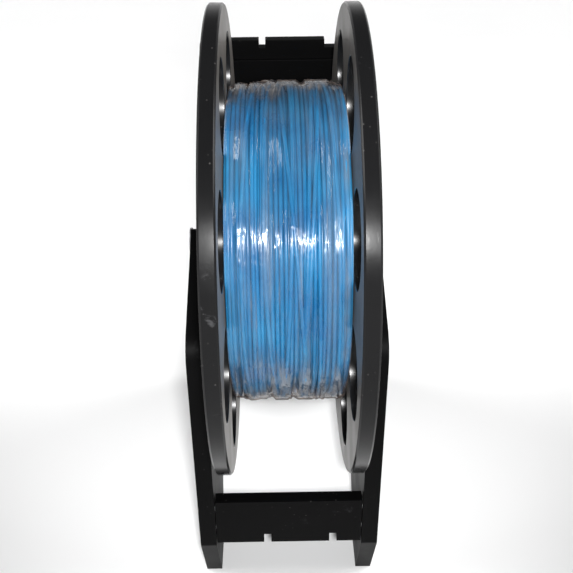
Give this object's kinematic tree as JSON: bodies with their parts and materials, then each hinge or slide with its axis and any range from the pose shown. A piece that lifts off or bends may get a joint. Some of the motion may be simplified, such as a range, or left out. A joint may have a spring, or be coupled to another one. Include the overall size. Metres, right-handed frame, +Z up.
{
  "type": "line spool on table stand",
  "caption": "Pierced twin-flange spool of thick blue plastic line under clear film, turning on an axle in the open saddles of a black two-plate table stand.",
  "frame": {"origin": "on the table, under the middle of the footprint of spool and stand, midway between the side plates", "axes": "+X along the axle to the right seen from the front, +Y to the back, +Z up; the front crossbar is towards -Y"},
  "size_m": [0.0824, 0.2144, 0.26],
  "materials": {
    "flange_plastic": "smooth black sheet plastic with a dull sheen, fine scuffs",
    "stand_board": "black board with a fine grain, slightly satin, dusty on its edges",
    "line": "glossy extruded blue plastic line",
    "film": "thin crinkled clear film, glossy",
    "core_plastic": "moulded black plastic tube",
    "bush_nylon": "natural nylon, turned",
    "axle_steel": "drawn steel bar",
    "zinc_fastener": "zinc-plated steel"
  },
  "bodies": {
    "stand": {"left_side_plate": "stand_board", "right_side_plate": "stand_board", "front_crossbar": "stand_board", "rear_crossbar": "stand_board", "rear_stiffener": "stand_board", "bar_screw_left_front_upper": "zinc_fastener", "bar_screw_left_front_lower": "zinc_fastener", "bar_screw_left_rear_upper": "zinc_fastener", "bar_screw_left_rear_lower": "zinc_fastener", "bar_screw_right_front_upper": "zinc_fastener", "bar_screw_right_front_lower": "zinc_fastener", "bar_screw_right_rear_upper": "zinc_fastener", "bar_screw_right_rear_lower": "zinc_fastener"},
    "axle": {"axle_rod": "axle_steel", "left_axle_screw": "zinc_fastener", "right_axle_screw": "zinc_fastener"},
    "spool": {"left_flange": "flange_plastic", "right_flange": "flange_plastic", "core_tube": "core_plastic", "line_winding": "line", "film_wrap": "film", "left_bush": "bush_nylon", "right_bush": "bush_nylon", "tie_bolt_1": "zinc_fastener", "tie_nut_1": "zinc_fastener", "tie_bolt_2": "zinc_fastener", "tie_nut_2": "zinc_fastener", "tie_bolt_3": "zinc_fastener", "tie_nut_3": "zinc_fastener", "tie_bolt_4": "zinc_fastener", "tie_nut_4": "zinc_fastener"}
  },
  "joints": [
    {"name": "axle_lift", "type": "slide", "parent": "stand", "child": "axle", "axis": [0, 0, 1], "range_m": [0, 0.12]},
    {"name": "spool_spin", "type": "hinge", "parent": "axle", "child": "spool", "pos_m": [0, -0.00725, 0.16], "axis": [1, 0, 0], "continuous": true}
  ]
}
